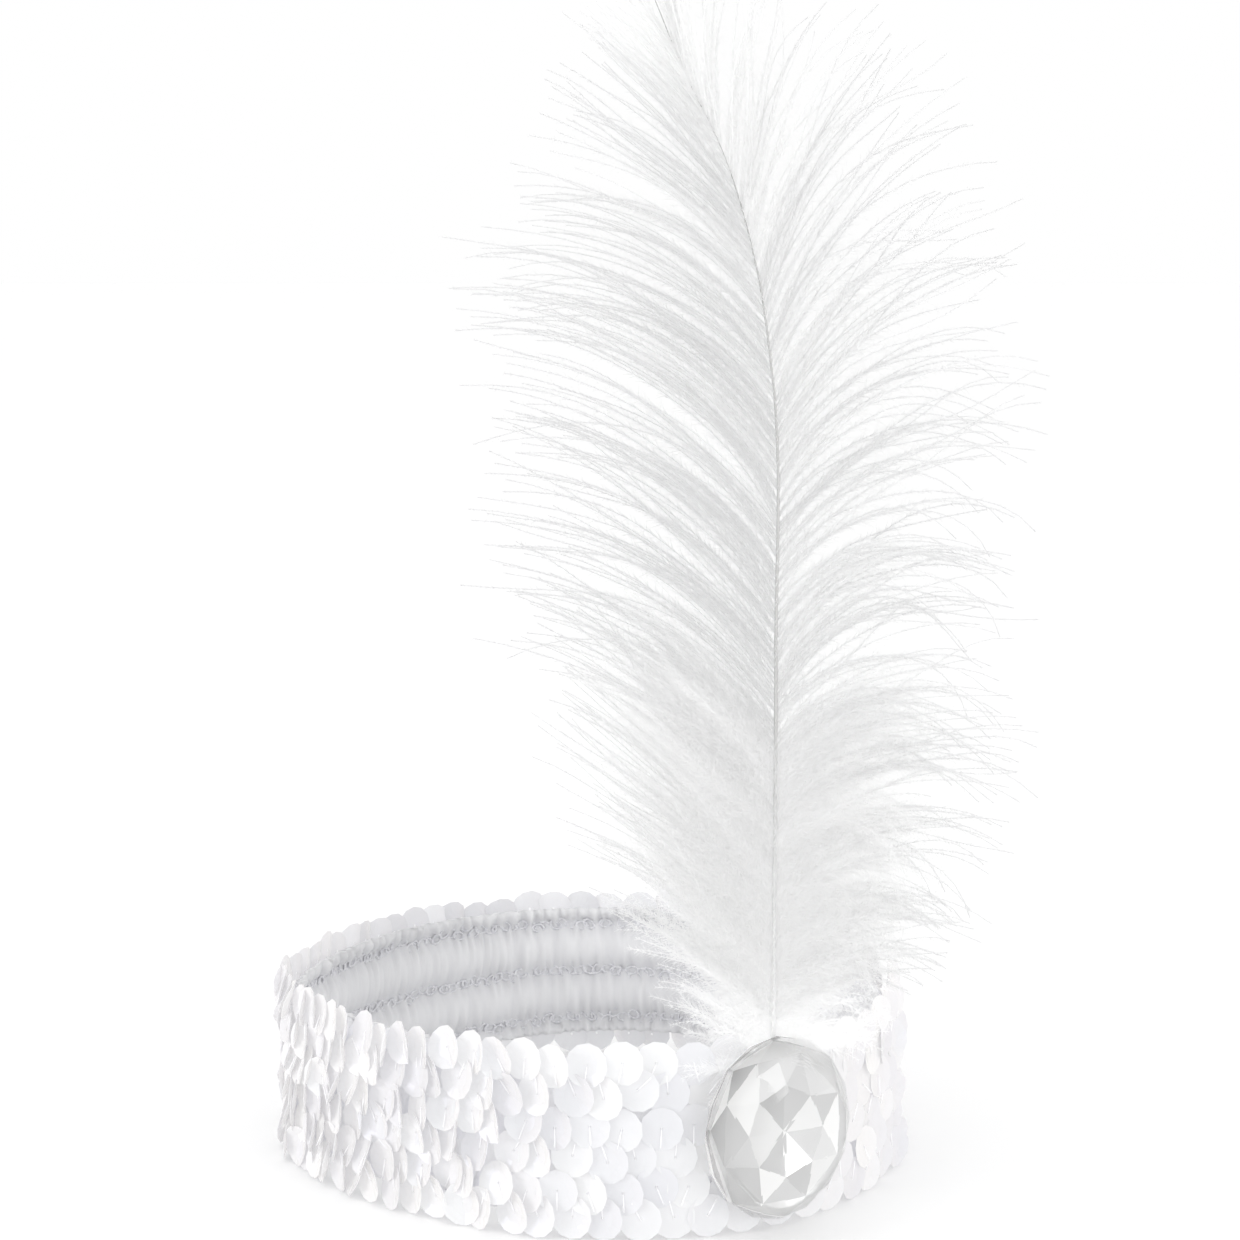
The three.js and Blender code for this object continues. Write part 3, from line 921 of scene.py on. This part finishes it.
# lines of barbs on one side of the shaft, in plume coordinates, and how light each barb is
def barbLines(sideName, roots, layer, rng):
    turn = -1 if sideName == "left" else 1
    count = len(roots)
    t = np.linspace(0, 1, barb["steps"])
    lock = lockNumbers(count, rng)

    def vary(lockSpread, ownSpread):
        ofLock = rng.normal(0, lockSpread, lock[-1] + 1)[lock]
        return ofLock + rng.normal(0, ownSpread, count)

    row = {key: np.interp(roots, barbTable["root"], values) for key, values in barbTable[sideName].items()}
    length = row["length"] * layer["length"] * (1 + vary(*barb["length"]))
    start = row["start"] + vary(*barb["start"])
    strays = rng.random(count) < barb["strayShare"][sideName]
    stray = strays * clippedNormal(rng, barb["stray"], barb["mostStray"], count)
    spread = layer["spread"] * barb["unruly"][sideName]
    tip = row["tip"] + vary(spread, barb["ownSpread"] * spread) + stray
    bend = start[:, None] + (tip - start)[:, None] * t
    wavy = barb["wavy"][sideName]
    sway = clippedNormal(rng, wavy, barb["mostWavy"] * wavy, count)[:, None]
    wave = sway * np.sin(2 * np.pi * (t + rng.random(count)[:, None])) * t
    slope = (shaftPoint(roots + 1) - shaftPoint(roots - 1))[:, 0] / 2
    angle = np.arctan(slope)[:, None] + turn * np.radians(bend + wave)
    middle = (angle[:, 1:] + angle[:, :-1]) / 2
    step = length[:, None] / (len(t) - 1)
    foot = np.zeros((count, 1))
    x, z = (np.concatenate([foot, np.cumsum(way(middle) * step, 1)], 1) for way in (np.sin, np.cos))
    bow = (layer["bow"] + vary(*barb["bow"]))[:, None] * t ** barb["bowPower"]
    lines = shaftPoint(roots)[:, None] + np.stack([x, bow, z], -1)
    uneven = np.interp(roots, barb["unevenRoots"], (barb["leastUneven"], 1))
    # tone by height and side is painted shade and light, with a random spread by lock and by barb
    usual = np.interp(roots, layer["toneRoots"], layer["tone"][sideName])
    tone = np.clip(usual + vary(*barb["tone"]) * uneven, 0, 1)
    centre = np.stack([lines[lock == number].mean(0) for number in range(lock[-1] + 1)])[lock]
    drawn = np.interp(t, barb["drawnAlong"], barb["drawn"])[None, :, None] * layer["draw"]
    drawn = drawn * rng.uniform(barb["leastDrawn"], 1, (count, 1, 1))
    return lines + (centre - lines) * drawn, tone


# barbules as thin closed spikes on both sides of the barbs, and how many vertices each barb has of them
def barbuleArrays(lines, long, opening, layer, rng):
    bases, tips, counts = [], [], []
    back = np.array([0.0, 1.0, 0.0])
    crowding = barbule["crowding"]
    for line, longest, usual in zip(lines, long, opening):
        reach = np.concatenate([[0], np.cumsum(np.linalg.norm(np.diff(line, axis=0), axis=1))])
        number = int(reach[-1] / layer["barbuleGap"])
        even = (np.arange(number) + rng.random(number)) / number
        where = even * (crowding + (1 - crowding) * even) * reach[-1]
        slope = np.gradient(line, axis=0)
        base, ahead = (
            np.stack([np.interp(where, reach, rows[:, k]) for k in range(3)], -1) for rows in (line, slope)
        )
        ahead /= np.linalg.norm(ahead, axis=1)[:, None]
        side = np.cross(ahead, back)
        fade = np.interp(where / reach[-1], barbule["fadeAlong"], barbule["fade"])
        for sign in (-1, 1):
            loose = rng.random(number) < layer["looseShare"]
            looseOpen = rng.uniform(*barbule["looseOpen"], number)
            usualOpen = rng.normal(usual, usual * barbule["openSpread"], number)
            tilt = np.radians(np.where(loose, looseOpen, usualOpen))[:, None]
            roll = rng.normal(0, barbule["roll"], number)[:, None]
            away = sign * side * np.cos(roll) + back * np.sin(roll)
            size = (longest * fade * rng.uniform(*barbule["long"], number))[:, None]
            bases.append(base)
            tips.append(base + (ahead * np.cos(tilt) + away * np.sin(tilt)) * size)
        counts.append(2 * number)
    base, tip = np.concatenate(bases), np.concatenate(tips)
    run = tip - base
    x = np.cross(run, barbule["sideways"])
    x *= layer["barbuleThick"] / np.linalg.norm(x, axis=1)[:, None]
    y = np.cross(run, x)
    y *= layer["barbuleThick"] / np.linalg.norm(y, axis=1)[:, None]
    corners = np.stack([base + a * x + b * y for a, b in barbule["foot"]] + [tip], 1)
    perSpike = corners.shape[1]
    first = np.arange(len(base))[:, None] * perSpike
    faces = np.concatenate([first + face for face in barbule["faces"]])
    return corners.reshape(-1, 3), faces, np.array(counts) * perSpike


# lift is a painted glow in the light colour; for the down the glow's colour follows the tone, dimmest
# where the tone is lowest
def featherMaterial(name, dark, light, lift, dimmestGlow=None):
    settings = {"Roughness": 0.75, "Sheen_Weight": 0.15}
    settings.update({"Emission_Color": (*light, 1), "Emission_Strength": lift})
    material, tree, shader = newMaterial(name, **settings)
    tone = addNode(tree, "ShaderNodeAttribute", attribute_name="tone")
    colourRamp(tree, tone.outputs["Fac"], shader.inputs["Base Color"], [(0.0, dark), (1.0, light)])
    if dimmestGlow:
        glow = [(0.0, dimmestGlow), (1.0, light)]
        colourRamp(tree, tone.outputs["Fac"], shader.inputs["Emission Color"], glow)
    letThrough(tree, shader, light, share=0.35)
    return material


def featherLayer(sideName, layerName, layer, rng, material):
    share = (np.arange(layer["barbs"]) + rng.random(layer["barbs"])) / layer["barbs"]
    roots = layer["first"] + layer["rise"] * share ** layer["crowding"]
    lines, tone = barbLines(sideName, roots, layer, rng)
    thin = layer["thick"] * np.linspace(1, barb["taper"], barb["steps"])
    tubes, tubeFaces = tubeArrays(lines, thin * np.ones((len(lines), 1)), barb["sides"])
    keys = ("barbuleLong", "barbuleOpen", "barbShade", "tipShade")
    long, opening, shade, tipShade = (np.interp(roots, barbule["roots"], layer[key]) for key in keys)
    spikes, spikeFaces, counts = barbuleArrays(lines, long, opening, layer, rng)
    name = "plume" + layerName + sideName.capitalize()
    mesh = bpy.data.meshes.new(name)
    allFaces = tubeFaces + (spikeFaces + len(tubes)).tolist()
    mesh.from_pydata(inFrame(np.concatenate([tubes, spikes])), [], allFaces)
    mesh.shade_smooth()
    t = np.linspace(0, 1, barb["steps"])
    # painted shade: each barb darker near the shaft and towards its tip
    darker = np.maximum(tone[:, None] - shade[:, None] * (1 - t) - tipShade[:, None] * t, 0)
    pointValues(mesh, "tone", np.concatenate([np.repeat(darker, barb["sides"]), np.repeat(tone, counts)]))
    addPiece(name, mesh, [material])


def plumeVanes():
    rng = np.random.default_rng(plume["seed"])
    barbTones = {"dark": (0.68, 0.68, 0.685), "light": (0.98, 0.98, 0.98)}
    downTones = {"dark": (0.90, 0.90, 0.90), "light": (0.97, 0.97, 0.97), "dimmestGlow": (0.64, 0.64, 0.64)}
    # both feather materials have a painted glow, the down the stronger one
    barbWhite = featherMaterial("whiteBarbs", lift=0.25, **barbTones)
    downWhite = featherMaterial("whiteDown", lift=0.37, **downTones)
    for sideName in ("left", "right"):
        for layerName, layer in layers.items():
            material = downWhite if layer is down else barbWhite
            featherLayer(sideName, layerName, layer, rng, material)


plumeShaft()
plumeVanes()
print("plume made")

# plain floor and soft studio light
studio = {
    "floor": 8.0,
    "world": 1.0,
    "lights": {
        "keyLight": {"place": (1.0, -1.0, 0.45), "aim": (0, 0, 0.05), "size": 0.6, "power": 3},
        "fillLight": {"place": (-1.4, -0.7, 0.3), "aim": (-0.05, 0, 0.03), "size": 0.9, "power": 7},
    },
}


def studioFloor():
    bm = bmesh.new()
    bmesh.ops.create_grid(bm, x_segments=1, y_segments=1, size=studio["floor"])
    mesh = meshFrom(bm, "studioFloor")
    floor = bpy.data.objects.new("studioFloor", mesh)
    scene.collection.objects.link(floor)
    settings = {"Base_Color": (0.95, 0.95, 0.95, 1), "Roughness": 0.9, "Emission_Strength": 0.05}
    settings["Emission_Color"] = (1, 1, 1, 1)
    mesh.materials.append(newMaterial("paleFloor", **settings)[0])


def softLight(name, place, aim, size, power):
    data = bpy.data.lights.new(name, "AREA")
    data.shape = "DISK"
    data.size = size
    data.energy = power
    lamp = bpy.data.objects.new(name, data)
    lamp.location = place
    lamp.rotation_euler = (Vector(aim) - Vector(place)).to_track_quat("-Z", "Y").to_euler()
    scene.collection.objects.link(lamp)


def studioLight():
    world = bpy.data.worlds.new("whiteStudio")
    scene.world = world
    world.use_nodes = True
    background = world.node_tree.nodes["Background"]
    background.inputs["Color"].default_value = (1, 1, 1, 1)
    background.inputs["Strength"].default_value = studio["world"]
    for name, light in studio["lights"].items():
        softLight(name, **light)
    scene.view_settings.view_transform = "Standard"
    scene.view_settings.look = "None"


studioFloor()
studioLight()
